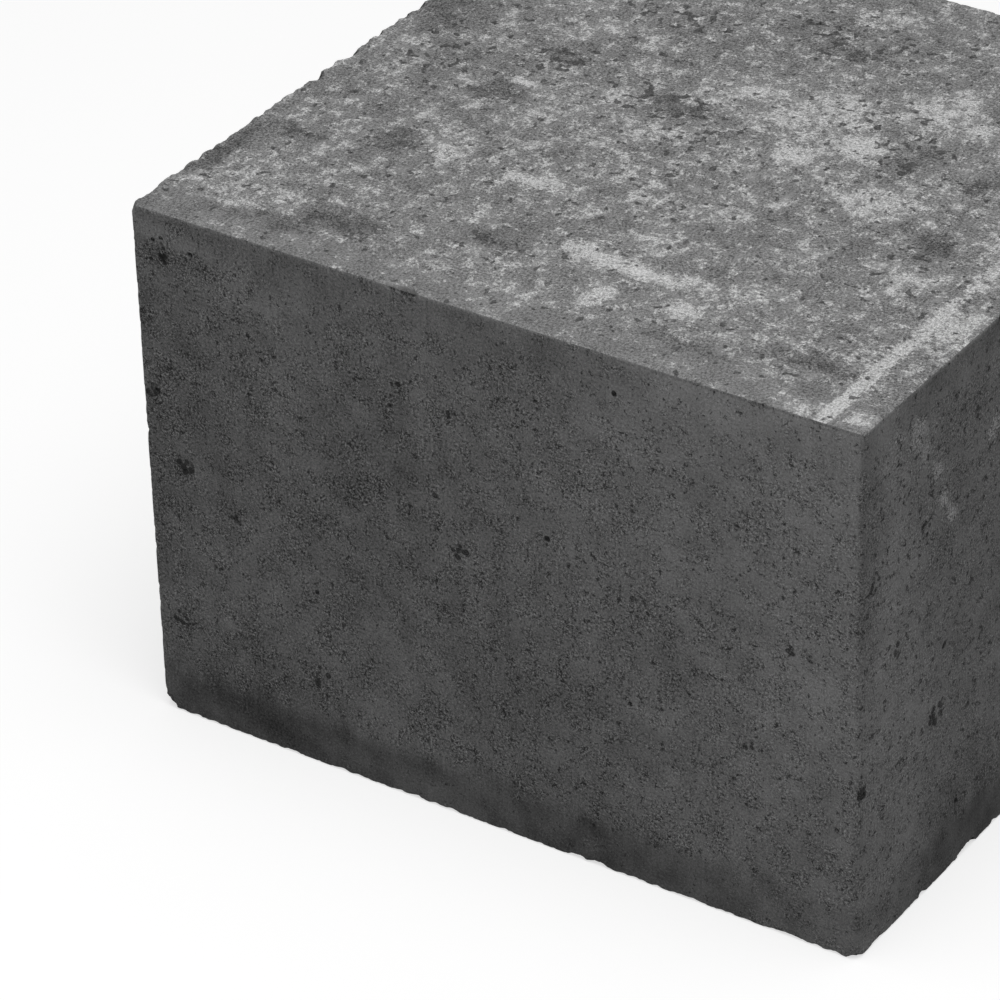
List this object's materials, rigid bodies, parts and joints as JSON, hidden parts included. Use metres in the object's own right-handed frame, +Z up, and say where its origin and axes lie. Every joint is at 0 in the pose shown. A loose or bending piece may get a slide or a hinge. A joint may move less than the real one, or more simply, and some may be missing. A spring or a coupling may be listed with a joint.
{
  "type": "concrete wall block",
  "caption": "Solid dark grey concrete wall block, a plain cuboid with small rounded arrises and worn, chipped edges, laid in courses.",
  "frame": {"origin": "middle of the bed face, at the bottom of the block", "axes": "+X along the block's face, its longest side; +Y from the face to the back; +Z up through one course"},
  "size_m": [0.21, 0.2, 0.15],
  "materials": {
    "concrete": "matte, fine open pores, lime bloom on the top face"
  },
  "bodies": {
    "root": {"block": "concrete"}
  },
  "joints": []
}
